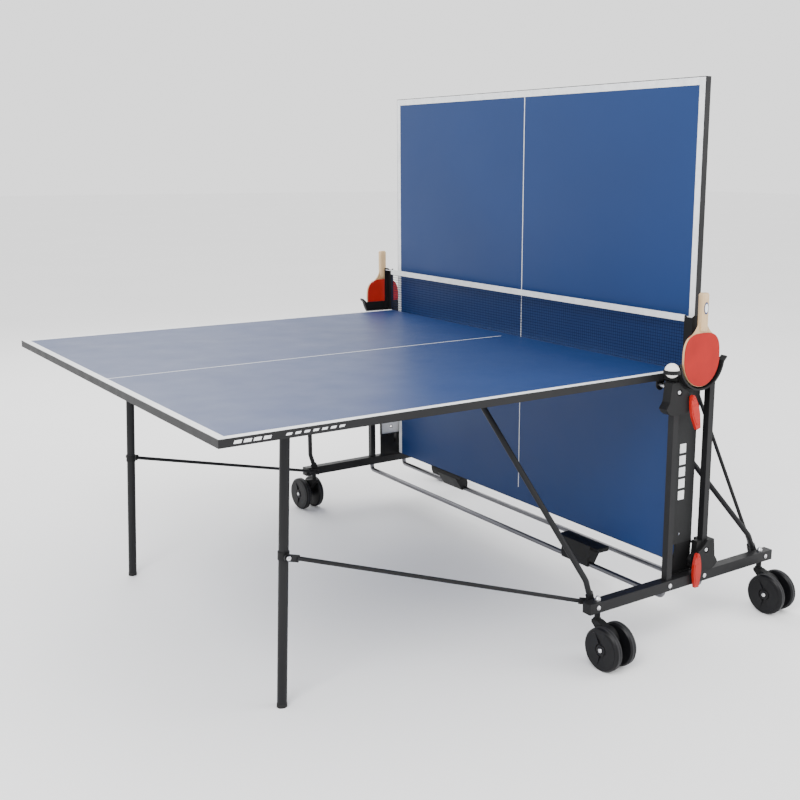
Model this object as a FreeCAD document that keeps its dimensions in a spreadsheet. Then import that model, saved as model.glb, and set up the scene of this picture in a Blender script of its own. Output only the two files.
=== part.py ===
import FreeCAD, Part
import math
import os
import re
import Sketcher
from FreeCAD import Placement, Rotation, Vector

# Folding table tennis table, in millimetres, +Z up, floor at z = 0.
# One half is down in the playing position (left, -X) and the other is folded up (right, +X).
# Every half is drawn once in its own playing frame: X outward from the net, Y across, Z up.
# Every side frame is drawn once at +Y. Both repeat by half a turn about the vertical net axis.

DIMENSIONS = [
    ("net_x", 495.96), ("half_long", 1370.0), ("top_wide", 1525.0), ("surface_up", 760.0),
    ("board_thick", 16.0), ("rim_deep", 19.0), ("rim_wall", 2.0), ("flange_wide", 28.0),
    ("edge_gap", 3.0), ("side_y", 797.0), ("beam_half", 368.0), ("beam_width", 30.0),
    ("beam_low", 145.0), ("tube_wall", 2.0), ("cap_thick", 2.0), ("post_x", 70.0),
    ("post_width", 20.0), ("post_top", 745.0), ("plate_low_x", -45.0), ("plate_high_x", 57.0),
    ("plate_y", 766.0), ("plate_deep", 12.0), ("plate_low", 262.0), ("plate_top", 655.0),
    ("plate_skin", 2.0), ("plate_hole", 4.0), ("web_thick", 8.0), ("bar_x", 75.0),
    ("bar_up", 124.0), ("bar_rad", 8.0), ("bar_bend", 14.0), ("pin_out", 70.0),
    ("pin_drop", 36.0), ("pin_rad", 6.0), ("fit_gap", 0.05), ("fold_face_x", 34.0),
    ("fold_edge_up", 178.0), ("leg_out", 1106.0), ("leg_drop", 34.0), ("leg_foot_out", 1135.0), ("leg_y", 535.0), ("leg_rad", 12.5),
    ("leg_wall", 1.5), ("leg_bend", 45.0), ("leg_tuck", -7.5), ("saddle_y", 400.0),
    ("saddle_wide", 20.0), ("foot_rad", 13.2), ("foot_high", 9.0), ("link_foot_x", 333.0),
    ("link_foot_up", 160.0), ("strut_foot_y", 775.5), ("strut_drop", 28.0),
    ("strut_top_y", 490.0), ("strut_rad", 8.0), ("strut_tab", 11.5), ("rod_foot_y", 760.0),
    ("rod_top_y", 557), ("rod_rad", 5.5), ("rod_tab", 9.0), ("tab_thick", 5.0),
    ("bolt_rad", 4.0), ("ear_thick", 3.0), ("stem_x", 330.0), ("stem_rad", 8.0),
    ("stem_top", 170.0), ("collar_rad", 11.0), ("collar_up", 112.0), ("collar_high", 12.0),
    ("trail", 50.0), ("trail_turn", 95.0), ("wheel_rad", 60.0), ("wheel_wide", 22.0),
    ("wheel_off", 28.0), ("tread_edge", 4.0), ("dish_rad", 46.0), ("dish_deep", 3.0),
    ("arm_wide", 22.0), ("axle_rad", 5.0), ("hub_rad", 14.0), ("net_high", 152.5),
    ("net_half", 757.0), ("net_thick", 2.0), ("tape_high", 18.0), ("tape_thick", 3.0),
    ("cord_rad", 1.5), ("net_post_thick", 5.0), ("racket_y", 822.0), ("racket_up", 800.0),
    ("blade_rad", 76.0), ("blade_thick", 6.0), ("rubber_thick", 2.0), ("rubber_top", 872.0),
    ("handle_wide", 27.0), ("handle_deep", 22.0), ("handle_top", 981.0), ("holder_rad", 90.0),
    ("holder_skin", 4.0), ("ledge_rad", 80.5), ("ledge_skin", 5.5), ("ledge_deep", 18.0),
    ("ball_rad", 20.0), ("ball_x", 100.0), ("ball_y", 812.0), ("ball_up", 777.0),
    ("ring_in", 18.9), ("ring_skin", 4.6), ("lever_x", 25.0), ("lever_drop", 30.0),
    ("lever_long", 92.0), ("lever_thick", 9.0), ("catch_y", 430.0), ("catch_wide", 120.0),
]

HALVES = ("left", "right")
SIDES = {"near": -1, "far": 1}
LEVER_LEAN = {"left": -16.0, "right": 0.0}
LEVER_DROP = {"left": "lever_drop", "right": "(lever_drop - 12)"}
Y_AXIS = Vector(0, 1, 0)
Z_AXIS = Vector(0, 0, 1)

doc = FreeCAD.newDocument("table_tennis_table")
sheet = doc.addObject("Spreadsheet::Sheet", "dims")
for row, (alias, value) in enumerate(DIMENSIONS, start=1):
    sheet.set(f"A{row}", alias)
    sheet.set(f"B{row}", str(value))
    sheet.setAlias(f"B{row}", alias)
doc.recompute()
ALIASES = {alias for alias, value in DIMENSIONS}
nodes = []


# ---------------------------------------------------------------- helpers

def dim(alias):
    """A driving dimension's value, read from the sheet."""
    return float(getattr(sheet, alias))


def bind(item, prop, formula):
    """Bind one property to a formula written with the sheet's aliases."""
    def word(match):
        return "dims." + match[0] if match[0] in ALIASES else match[0]
    item.setExpression(prop, re.sub(r"[a-z][a-z_]*[a-z]", word, formula))


def bind_base(item, x, y, z):
    """Bind where a piece starts."""
    for axis, formula in zip("xyz", (x, y, z)):
        bind(item, "Placement.Base." + axis, formula)


def box(name, size, low):
    """A box from its three size formulas and the formulas of its lowest corner."""
    item = doc.addObject("Part::Box", name)
    for prop, formula in zip(("Length", "Width", "Height"), size):
        bind(item, prop, formula)
    bind_base(item, *low)
    return item


def turned_to(axis):
    """The rotation that lays a Z-long primitive along an axis."""
    return {"X": Rotation(Y_AXIS, 90), "Y": Rotation(Vector(1, 0, 0), -90), "Z": Rotation()}[axis]


def cylinder(name, radius, length, start, axis="Z"):
    """A cylinder that starts at `start` and runs along +axis."""
    item = doc.addObject("Part::Cylinder", name)
    item.Placement = Placement(Vector(), turned_to(axis))
    bind(item, "Radius", radius)
    bind(item, "Height", length)
    bind_base(item, *start)
    return item


def cone(name, radius, end_radius, length, start, axis="Z"):
    """A cone that starts at `start` and runs along +axis."""
    item = doc.addObject("Part::Cone", name)
    item.Placement = Placement(Vector(), turned_to(axis))
    for prop, formula in (("Radius1", radius), ("Radius2", end_radius), ("Height", length)):
        bind(item, prop, formula)
    bind_base(item, *start)
    return item


def cut(name, base, tool):
    """base with tool taken away."""
    item = doc.addObject("Part::Cut", name)
    item.Base, item.Tool = base, tool
    return item


def join(name, pieces):
    """Several overlapping pieces made one."""
    item = doc.addObject("Part::MultiFuse", name)
    item.Shapes = pieces
    item.Refine = True
    return item


def group(name, pieces):
    """Separate solids kept in one object."""
    item = doc.addObject("Part::Compound", name)
    item.Links = pieces
    return item


def mirrored(name, item, normal=Y_AXIS):
    """The piece's mirror image across a plane through the origin."""
    copy = doc.addObject("Part::Mirroring", name)
    copy.Source = item
    copy.Normal = normal
    return copy


def both_sides(name, item):
    """The piece and its mirror image at -Y."""
    return group(name, [item, mirrored(name + "_mirrored", item)])


def feature(name, shape):
    """An object whose shape is swept or turned with Part's own functions."""
    item = doc.addObject("Part::Feature", name)
    item.Shape = shape
    return item


def sketch_on(body, role, name):
    """A new sketch on one of the body's origin planes."""
    sketch = body.newObject("Sketcher::SketchObject", name)
    plane = next(item for item in body.Origin.OriginFeatures if item.Role == role)
    sketch.AttachmentSupport = (plane, [""])
    sketch.MapMode = "FlatFace"
    return sketch


def rectangle(sketch, low_x, low_y, high_x, high_y):
    """A rectangle whose four sides are held by distances bound to the sheet."""
    corners = [Vector(0, 0, 0), Vector(10, 0, 0), Vector(10, 10, 0), Vector(0, 10, 0)]
    for start, end in zip(corners, corners[1:] + corners[:1]):
        sketch.addGeometry(Part.LineSegment(start, end))
    for side in range(4):
        sketch.addConstraint(Sketcher.Constraint("Coincident", side, 2, (side + 1) % 4, 1))
        sketch.addConstraint(Sketcher.Constraint(("Horizontal", "Vertical")[side % 2], side))
    held = (("DistanceX", 0, low_x), ("DistanceY", 0, low_y),
            ("DistanceX", 2, high_x), ("DistanceY", 2, high_y))
    for kind, line, formula in held:
        index = sketch.addConstraint(Sketcher.Constraint(kind, line, 1, 5.0))
        bind(sketch, f"Constraints[{index}]", formula)


def pad(body, sketch, length):
    """Pad a sketch by a bound length."""
    item = body.newObject("PartDesign::Pad", body.Name + "_pad")
    item.Profile = sketch
    bind(item, "Length", length)
    sketch.Visibility = False
    return item


def slab(name, points, high_y, thick):
    """A flat piece padded from an outline of (x, z) points, from y = high_y towards -Y.

    A point given as ((x, z), (x, z)) is an arc through the first to the second.
    """
    body = doc.addObject("PartDesign::Body", name)
    sketch = sketch_on(body, "XZ_Plane", name + "_sketch")
    here = Vector(points[0][0], points[0][1], 0)
    for point in points[1:] + points[:1]:
        if isinstance(point[0], tuple):
            middle, end = (Vector(p[0], p[1], 0) for p in point)
            sketch.addGeometry(Part.Arc(here, middle, end))
        else:
            end = Vector(point[0], point[1], 0)
            if not end.isEqual(here, 1e-6):
                sketch.addGeometry(Part.LineSegment(here, end))
        here = end
    bind(sketch, "AttachmentOffset.Base.z", f"-({high_y})")
    pad(body, sketch, thick)
    return body


def keep(item, label, placement):
    """Name a finished sub-part and put it in its place."""
    item.Label = label
    item.Placement = placement
    nodes.append(item)


def rounded_path(points, bends):
    """Straight runs joined by tangent arcs, one radius for each inner corner."""
    edges = []
    start = points[0]
    for before, corner, after, bend in zip(points, points[1:], points[2:], bends):
        into, out = (corner - before).normalize(), (after - corner).normalize()
        half_turn = into.getAngle(out) / 2
        reach = bend * math.tan(half_turn)
        enter, leave = corner - into * reach, corner + out * reach
        middle = corner + (out - into).normalize() * (bend / math.cos(half_turn) - bend)
        edges += [Part.makeLine(start, enter), Part.Arc(enter, middle, leave).toShape()]
        start = leave
    return Part.Wire(edges + [Part.makeLine(start, points[-1])])


def tube(points, radius, bends):
    """A round solid swept along a rounded path."""
    ring = Part.Wire(Part.makeCircle(radius, points[0], points[1] - points[0]))
    return rounded_path(points, bends).makePipeShell([ring], True, True)


# ---------------------------------------------------------------- linkage

def pin_up():
    """Height of a half's net-side pin in the playing position."""
    return dim("surface_up") - dim("pin_drop")


def link_foot():
    return Vector(dim("link_foot_x"), 0, dim("link_foot_up"))


def leg_pivot():
    return Vector(dim("leg_out"), 0, dim("surface_up") - dim("leg_drop"))


def fold_place():
    """Placement of a folded half, from its playing frame."""
    face_x = dim("fold_face_x") + dim("surface_up")
    return Placement(Vector(face_x, 0, dim("fold_edge_up")), Rotation(Y_AXIS, -90))


def turn_about(point, degrees, shift):
    """A turn about the Y axis through a point, then a shift."""
    turn = Placement(Vector(), Rotation(Y_AXIS, degrees), Vector(point.x, 0, point.z))
    return Placement(shift, Rotation()).multiply(turn)


def leg_fold_place():
    """Placement of the legs of a folded half: hanging, leaning out past the struts."""
    return turn_about(leg_pivot(), dim("leg_tuck"), fold_place().multVec(leg_pivot()) - leg_pivot())


def strut_top():
    """The strut's top pivot, placed so the strut's length fits both positions."""
    foot, folded = link_foot(), fold_place().multVec(Vector(0, 0, dim("surface_up") - dim("strut_drop")))
    rise = dim("surface_up") - dim("strut_drop") - foot.z
    run, lift = folded.x - foot.x, folded.z - foot.z
    out = (foot.x ** 2 + rise ** 2 - run ** 2 - lift ** 2) / (2 * (lift + foot.x))
    return Vector(out, 0, dim("surface_up") - dim("strut_drop"))


def leg_axis():
    """Foot and top of a leg's straight run."""
    side = Vector(0, dim("leg_y"), 0)
    return Vector(dim("leg_foot_out"), 0, 0) + side, leg_pivot() + side


def rod_top():
    """The rod's bolt on the leg, placed so the rod's length fits both positions."""
    foot, top = leg_axis()
    place = leg_fold_place()

    def misfit(share):
        point = foot + (top - foot) * share
        flat = Vector(point.x, 0, point.z)
        return (flat - link_foot()).Length ** 2 - (place.multVec(flat) - link_foot()).Length ** 2

    share = misfit(0) / (misfit(0) - misfit(1))
    return foot + (top - foot) * share


def lean(vector):
    """Angle of a vector from straight up towards +X, in degrees."""
    return math.degrees(math.atan2(vector.x, vector.z))


def link_fold_place(top, top_place):
    """Placement of a strut or rod of a folded half: a turn about its foot."""
    flat = Vector(top.x, 0, top.z)
    turn = lean(top_place.multVec(flat) - link_foot()) - lean(flat - link_foot())
    return turn_about(link_foot(), turn, Vector())


def at_net(turned):
    """The frame of the net axis, turned by half a turn when asked."""
    return Placement(Vector(dim("net_x"), 0, 0), Rotation(Z_AXIS, 180 if turned else 0))


def half_place(half, part):
    """Placement of a half's piece: playing on the left, folded up on the right."""
    if half == "left":
        return at_net(True)
    pin = Vector(dim("pin_out"), 0, pin_up())
    moves = {
        "top": fold_place(),
        "carriage": Placement(fold_place().multVec(pin) - pin, Rotation()),
        "legs": leg_fold_place(),
        "struts": link_fold_place(strut_top(), fold_place()),
        "rods": link_fold_place(rod_top(), leg_fold_place()),
    }
    return at_net(False).multiply(moves[part])


# ---------------------------------------------------------------- table halves

def board(half):
    body = doc.addObject("PartDesign::Body", half + "_board")
    sketch = sketch_on(body, "XY_Plane", half + "_board_sketch")
    wide = "top_wide / 2 - rim_wall"
    rectangle(sketch, "edge_gap + rim_wall", f"-({wide})", "half_long - rim_wall", wide)
    bind(sketch, "AttachmentOffset.Base.z", "surface_up - board_thick")
    pad(body, sketch, "board_thick")
    keep(body, half + "_board", half_place(half, "top"))


def rim(half):
    """An angle section round the board: an upright wall and a flange under the board."""
    name = half + "_rim"
    outer = box(name + "_outer", ("half_long - edge_gap", "top_wide", "rim_deep"),
                ("edge_gap", "-top_wide / 2", "surface_up - rim_deep"))
    seat = box(name + "_seat",
               ("half_long - edge_gap - 2 * rim_wall", "top_wide - 2 * rim_wall", "board_thick + 1"),
               ("edge_gap + rim_wall", "-top_wide / 2 + rim_wall", "surface_up - board_thick"))
    inset = "(rim_wall + flange_wide)"
    opening = box(name + "_opening",
                  (f"half_long - edge_gap - 2 * {inset}", f"top_wide - 2 * {inset}", "rim_deep"),
                  (f"edge_gap + {inset}", f"-top_wide / 2 + {inset}", "surface_up - rim_deep - 1"))
    keep(cut(name, cut(name + "_tray", outer, seat), opening), name, half_place(half, "top"))


def ear(name, pivot, top_up, wide, high_y):
    """One upright bracket cheek with a rounded lower end."""
    points = [(pivot.x - wide, top_up), (pivot.x - wide, pivot.z),
              ((pivot.x, pivot.z - wide), (pivot.x + wide, pivot.z)), (pivot.x + wide, top_up)]
    return slab(name, points, high_y, "ear_thick")


def pin_brackets(half):
    """Pressed angle brackets for the net-side pins and for the strut pins."""
    name = half + "_pin_brackets"
    under_rim, under_board = "(surface_up - rim_deep)", "(surface_up - board_thick)"
    pin = Vector(dim("pin_out"), 0, pin_up())
    cheek = ear(name + "_pin_ear", pin, dim("surface_up") - dim("rim_deep"), 15, "743")
    foot = box(name + "_pin_foot", ("50", "20", "ear_thick"),
               ("pin_out - 25", "740", under_rim + " - ear_thick"))
    bore = cylinder(name + "_pin_bore", "pin_rad", "40", ("pin_out", "720", "surface_up - pin_drop"), "Y")
    pieces = [both_sides(name + "_pin", cut(name + "_pin_one", join(name + "_pin_body", [cheek, foot]), bore))]
    top = strut_top()
    for word, sign in (("in", -1), ("out", 1)):
        piece = f"{name}_{word}"
        high_y = f"strut_top_y + {sign} * 8 + ear_thick / 2"
        cheek = ear(piece + "_ear", top, dim("surface_up") - dim("board_thick"), 13, high_y)
        low_y = f"strut_top_y + {sign} * 8 - ear_thick / 2" + (" - 15 + ear_thick" if sign < 0 else "")
        foot = box(piece + "_foot", ("36", "15", "ear_thick"),
                   (f"{top.x} - 18", low_y, under_board + " - ear_thick"))
        bore = cylinder(piece + "_bore", "bolt_rad", "60",
                        (f"{top.x}", "strut_top_y - 30", "surface_up - strut_drop"), "Y")
        one = cut(piece + "_one", join(piece + "_body", [cheek, foot]), bore)
        pieces.append(both_sides(piece, one))
    keep(group(name, pieces), name, half_place(half, "top"))


def pivot_pins(half):
    """The pins that carry the half in its carriages and its struts."""
    name = half + "_pivot_pins"
    pin_z, strut_z = "surface_up - pin_drop", "surface_up - strut_drop"
    shank = cylinder(name + "_shank", "pin_rad", "785 - 737", ("pin_out", "737", pin_z), "Y")
    head = cylinder(name + "_head", "pin_rad * 1.5", "3", ("pin_out", "737", pin_z), "Y")
    out = f"{strut_top().x}"
    bolt = cylinder(name + "_bolt", "bolt_rad", "26", (out, "strut_top_y - 13", strut_z), "Y")
    cap = cylinder(name + "_cap", "bolt_rad * 1.8", "3", (out, "strut_top_y - 12.5", strut_z), "Y")
    nut = cylinder(name + "_nut", "bolt_rad * 1.8", "3", (out, "strut_top_y + 9.5", strut_z), "Y")
    pieces = [join(name + "_pin", [shank, head]), join(name + "_strut", [bolt, cap, nut])]
    keep(group(name, [both_sides(p.Name + "_pair", p) for p in pieces]), name, half_place(half, "top"))


def leg_brackets(half):
    """Two saddles that hold the leg frame's top rail under the board."""
    name = half + "_leg_brackets"
    middle = "surface_up - leg_drop"
    block = box(name + "_block", ("40", "saddle_wide", "leg_drop - board_thick"),
                ("leg_out - 20", "saddle_y - saddle_wide / 2", middle))
    barrel = cylinder(name + "_barrel", "leg_rad + 5", "saddle_wide",
                      ("leg_out", "saddle_y - saddle_wide / 2", middle), "Y")
    plate = box(name + "_plate", ("70", "saddle_wide + 20", "3"),
                ("leg_out - 35", "saddle_y - saddle_wide / 2 - 10", "surface_up - board_thick - 3"))
    bore = cylinder(name + "_bore", "leg_rad + fit_gap", "60", ("leg_out", "saddle_y - 30", middle), "Y")
    saddle = cut(name + "_one", join(name + "_body", [block, barrel, plate]), bore)
    keep(both_sides(name, saddle), name, half_place(half, "top"))


def leg_frame(half):
    """One bent tube: two legs and the rail that joins their tops under the board."""
    name = half + "_leg_frame"
    foot, top = leg_axis()
    start = foot + (top - foot).normalize() * 4
    path = [start, top, Vector(top.x, -top.y, top.z), Vector(start.x, -start.y, start.z)]
    bends = [dim("leg_bend")] * 2
    shape = tube(path, dim("leg_rad"), bends).cut(tube(path, dim("leg_rad") - dim("leg_wall"), bends))
    keep(feature(name, shape), name, half_place(half, "legs"))


def leg_feet(half):
    """Rubber plugs on the two leg ends, flat underneath."""
    name = half + "_leg_feet"
    foot, top = leg_axis()
    along = (top - foot).normalize()
    boot = Part.makeCylinder(dim("foot_rad"), dim("foot_high") + 10, foot - along * 10, along)
    bore = Part.makeCylinder(dim("leg_rad"), 60, foot + along * 4, along)
    floor = Part.makeBox(100, 100, 40, Vector(foot.x - 50, foot.y - 50, -40))
    one = boot.cut(bore).cut(floor)
    shape = Part.makeCompound([one, one.mirror(Vector(), Y_AXIS)])
    keep(feature(name, shape), name, half_place(half, "legs"))


def rod_clips(half):
    """A band round each leg with the stud that carries the rod."""
    name = half + "_rod_clips"
    foot, top = leg_axis()
    along, at, radius = (top - foot).normalize(), rod_top(), dim("leg_rad")
    band = Part.makeCylinder(radius + 2, 20, at - along * 10, along)
    stud = Part.makeCylinder(dim("bolt_rad"), dim("rod_top_y") + 3 - at.y, at, Y_AXIS)
    head = Part.makeCylinder(dim("bolt_rad") * 1.8, 3, Vector(at.x, dim("rod_top_y") + 3, at.z), Y_AXIS)
    clip = band.fuse([stud, head]).cut(Part.makeCylinder(radius, 20, at - along * 10, along))
    shape = Part.makeCompound([clip, clip.mirror(Vector(), Y_AXIS)])
    keep(feature(name, shape), name, half_place(half, "legs"))


def flat_end(pivot, along, long, wide):
    """A flattened tube end: a round ended strip in the XZ plane with a bolt hole at its pivot."""
    thick = dim("tab_thick")
    side = Vector(along.z, 0, -along.x) * wide
    base = Vector(pivot.x, pivot.y - thick / 2, pivot.z)
    corners = [base + side, base + side + along * long, base - side + along * long, base - side]
    strip = Part.Face(Part.makePolygon(corners + corners[:1])).extrude(Vector(0, thick, 0))
    hole = Part.makeCylinder(dim("bolt_rad") + dim("fit_gap"), thick, base, Y_AXIS)
    return strip.fuse(Part.makeCylinder(wide, thick, base, Y_AXIS)).cut(hole)


def link(low, high, radius, wide, straight):
    """A tube with flattened ends that stand square to their pivots, and a rivet in its foot."""
    along = Vector(high.x - low.x, 0, high.z - low.z).normalize()
    reach, bend_at = wide + 16, wide + 30
    points = [low + along * reach, low + along * straight, high - along * bend_at, high - along * reach]
    pieces = [flat_end(low, along, reach + 6, wide), flat_end(high, along * -1, reach + 6, wide)]
    shape = tube(points, radius, [30, 30]).fuse(pieces)
    half_thick = dim("tab_thick") / 2
    rivet = Part.makeCylinder(dim("bolt_rad") + 0.1, 2 * half_thick, low - Y_AXIS * half_thick, Y_AXIS)
    head = Part.makeCylinder(dim("bolt_rad") * 1.8, 2, low - Y_AXIS * (half_thick + 2), Y_AXIS)
    one = shape.fuse([rivet, head]).removeSplitter()
    return Part.makeCompound([one, one.mirror(Vector(), Y_AXIS)])


def struts(half):
    """Braces from the beam ends up to the board."""
    low = link_foot() + Y_AXIS * dim("strut_foot_y")
    high = strut_top() + Y_AXIS * dim("strut_top_y")
    shape = link(low, high, dim("strut_rad"), dim("strut_tab"), 72)
    keep(feature(half + "_struts", shape), half + "_struts", half_place(half, "struts"))


def rods(half):
    """Thin rods that keep the legs hanging straight as the half folds."""
    low = link_foot() + Y_AXIS * dim("rod_foot_y")
    high = Vector(rod_top().x, dim("rod_top_y"), rod_top().z)
    shape = link(low, high, dim("rod_rad"), dim("rod_tab"), 40)
    keep(feature(half + "_rods", shape), half + "_rods", half_place(half, "rods"))


def carriages(half):
    """Moulded blocks that slide on the posts and carry the half's pins."""
    name = half + "_carriages"
    x, z = dim("post_x"), pin_up()
    wall = box(name + "_wall", ("22.5", "17", "60"), ("post_x - 8.5", "773", "surface_up - pin_drop - 42"))
    points = [(x + 30, z + 18), (x - 30, z + 18), (x - 36, z - 34), (x - 48, z - 52),
              ((x - 36, z - 66), (x, z - 70)), ((x + 36, z - 66), (x + 48, z - 52)), (x + 36, z - 34)]
    shroud = slab(name + "_shroud", points, "816", "816 - 787")
    arm = slab(name + "_arm", [(x - 30, z - 12), (x - 50, z - 16), ((x - 60, z - 28), (x - 52, z - 42)),
                               (x - 34, z - 46)], "811", "11")
    stud = cylinder(name + "_stud", "bolt_rad", "18.5", ("lever_x", "808", f"surface_up - pin_drop - {LEVER_DROP[half]}"), "Y")
    body = join(name + "_body", [wall, shroud, arm, stud])
    side = "(post_width + 1)"
    channel = box(name + "_channel", (side, side, "200"),
                  (f"post_x - {side} / 2", f"side_y - {side} / 2", "surface_up - pin_drop - 120"))
    bore = cylinder(name + "_bore", "pin_rad + fit_gap", "20", ("pin_out", "770", "surface_up - pin_drop"), "Y")
    recess = cylinder(name + "_recess", "9", "10", ("post_x", "813", "surface_up - pin_drop - 10"), "Y")
    relief = cylinder(name + "_relief", "holder_rad + 3", "30", ("0", "806", "racket_up"), "Y")
    one = cut(name + "_one", body, join(name + "_room", [channel, bore, recess, relief]))
    keep(both_sides(name, one), name, half_place(half, "carriage"))


def lever(half, side):
    """A leaf-shaped release lever on a carriage's stud."""
    name = f"{half}_{side}_lever"
    x, z, long = dim("lever_x"), pin_up() - dim("lever_drop"), dim("lever_long")
    z += 12 * (half == "right")
    points = [(x - 6, z + 6), ((x, z + 9), (x + 6, z + 6)), ((x + 14, z - 26), (x + 14.5, z - 54)),
              (x + 8, z - long), (x - 8, z - long), (x - 14.5, z - 54), ((x - 14, z - 26), (x - 6, z + 6))]
    leaf = slab(name + "_leaf", points, "826", "lever_thick")
    hole = cylinder(name + "_hole", "bolt_rad + fit_gap", "40",
                    ("lever_x", "800", f"surface_up - pin_drop - {LEVER_DROP[half]}"), "Y")
    one = cut(name + "_one", leaf, hole)
    # The left half is turned round, so its near side is at +Y of its own frame.
    if (side == "near") != (half == "left"):
        one = mirrored(name + "_mirrored", one)
    hang = turn_about(Vector(x, 0, z), -LEVER_LEAN[half], Vector())
    keep(group(name, [one]), name, half_place(half, "carriage").multiply(hang))


# ---------------------------------------------------------------- base frame

def side_beams():
    """The two square floor beams, with holes for the caster stems."""
    pieces = []
    for side, sign in SIDES.items():
        name = side + "_beam"
        low_y = f"{sign} * side_y - beam_width / 2"
        outer = box(name + "_outer", ("2 * beam_half", "beam_width", "beam_width"),
                    ("-beam_half", low_y, "beam_low"))
        bore = "(beam_width - 2 * tube_wall)"
        inner = box(name + "_inner", ("2 * beam_half + 2", bore, bore),
                    ("-beam_half - 1", low_y + " + tube_wall", "beam_low + tube_wall"))
        holes = [cylinder(f"{name}_{word}_hole", "stem_rad + fit_gap", "6",
                          (f"{out} * stem_x", f"{sign} * side_y", "beam_low - 2"))
                 for word, out in (("low", -1), ("high", 1))]
        pieces.append(cut(name, outer, join(name + "_room", [inner] + holes)))
    keep(group("side_beams", pieces), "side_beams", at_net(False))


def beam_end_caps():
    """Plastic plugs in the four beam ends."""
    head = box("cap_head", ("cap_thick", "beam_width", "beam_width"),
               ("beam_half", "side_y - beam_width / 2", "beam_low"))
    bore = "(beam_width - 2 * tube_wall)"
    plug = box("cap_plug", ("15", bore, bore),
               ("beam_half - 15", f"side_y - {bore} / 2", "beam_low + tube_wall"))
    one = both_sides("cap_pair", join("cap", [head, plug]))
    other = mirrored("cap_pair_mirrored", one, Vector(1, 0, 0))
    keep(group("beam_end_caps", [one, other]), "beam_end_caps", at_net(False))


def posts():
    """The four square uprights that the carriages slide on."""
    low, high, wide = "beam_low + beam_width", "post_top - beam_low - beam_width", "post_width"
    inner_wide = "post_width - 2 * tube_wall"
    outer = box("post_outer", (wide, wide, high), ("post_x - post_width / 2", "side_y - post_width / 2", low))
    inner = box("post_inner", (inner_wide, inner_wide, high),
                ("post_x - post_width / 2 + tube_wall", "side_y - post_width / 2 + tube_wall", low))
    one = both_sides("post_pair", cut("post", outer, inner))
    keep(group("posts", [one, mirrored("post_pair_mirrored", one, Vector(1, 0, 0))]), "posts", at_net(False))


def cover_plate(side):
    """A shallow pressed tray between the posts, open towards the table."""
    name = side + "_cover_plate"
    body = doc.addObject("PartDesign::Body", name)
    sketch = sketch_on(body, "XZ_Plane", name + "_sketch")
    rectangle(sketch, "plate_low_x", "plate_low", "plate_high_x", "plate_top")
    bind(sketch, "AttachmentOffset.Base.z", "-(plate_y + plate_deep)")
    pad(body, sketch, "plate_deep")
    doc.recompute()
    full = body.Shape.Volume
    inner = sketch_on(body, "XZ_Plane", name + "_inner")
    rectangle(inner, "plate_low_x + plate_skin", "plate_low + plate_skin",
              "plate_high_x - plate_skin", "plate_top - plate_skin")
    bind(inner, "AttachmentOffset.Base.z", "-plate_y")
    hole = sketch_on(body, "XZ_Plane", name + "_hole")
    hole.addGeometry(Part.Circle(Vector(6, 290, 0), Z_AXIS, 4))
    for kind, spot, formula in (("Radius", (0,), "plate_hole"), ("DistanceX", (0, 3), "plate_low_x + 51"),
                                ("DistanceY", (0, 3), "plate_low + 28")):
        index = hole.addConstraint(Sketcher.Constraint(kind, *spot, 5.0))
        bind(hole, f"Constraints[{index}]", formula)
    bind(hole, "AttachmentOffset.Base.z", "-plate_y")
    for word, profile, deep in (("pocket", inner, "plate_deep - plate_skin"), ("drilled", hole, "plate_deep + 1")):
        pocket = body.newObject("PartDesign::Pocket", f"{name}_{word}")
        pocket.Profile = profile
        bind(pocket, "Length", deep)
        profile.Visibility = False
    doc.recompute()
    assert body.Shape.Volume < 0.5 * full
    keep(body, name, at_net(side == "near"))


def plate_feet():
    """Moulded webs that stand each cover plate on its beam."""
    low, high = dim("beam_low") + dim("beam_width"), dim("plate_low")
    left, right = dim("plate_low_x"), dim("plate_high_x")
    points = [(left, high), (left, low), (right, low), (right, low + 22),
              ((right - 27, low + 36), (right - 40, high))]
    pieces = []
    for side in SIDES:
        web = slab(side + "_web", points, "plate_y + plate_deep - 1", "web_thick")
        pad_box = box(side + "_web_pad", ("plate_high_x - plate_low_x", "19", "3"),
                      ("plate_low_x", "plate_y", "beam_low + beam_width"))
        foot = join(side + "_plate_foot", [web, pad_box])
        foot.Placement = Placement(Vector(), Rotation(Z_AXIS, 180 if side == "near" else 0))
        pieces.append(foot)
    keep(group("plate_feet", pieces), "plate_feet", at_net(False))


def cross_bars():
    """Two chromed bars under the table whose bent ends rise into the beams."""
    y, z, top = dim("side_y") - 7, dim("bar_up"), dim("beam_low")
    bars = []
    for x in (-dim("bar_x"), dim("bar_x")):
        points = [Vector(x, -y, top), Vector(x, -y, z), Vector(x, y, z), Vector(x, y, top)]
        bars.append(tube(points, dim("bar_rad"), [dim("bar_bend")] * 2))
    keep(feature("cross_bars", Part.makeCompound(bars)), "cross_bars", at_net(False))


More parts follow.
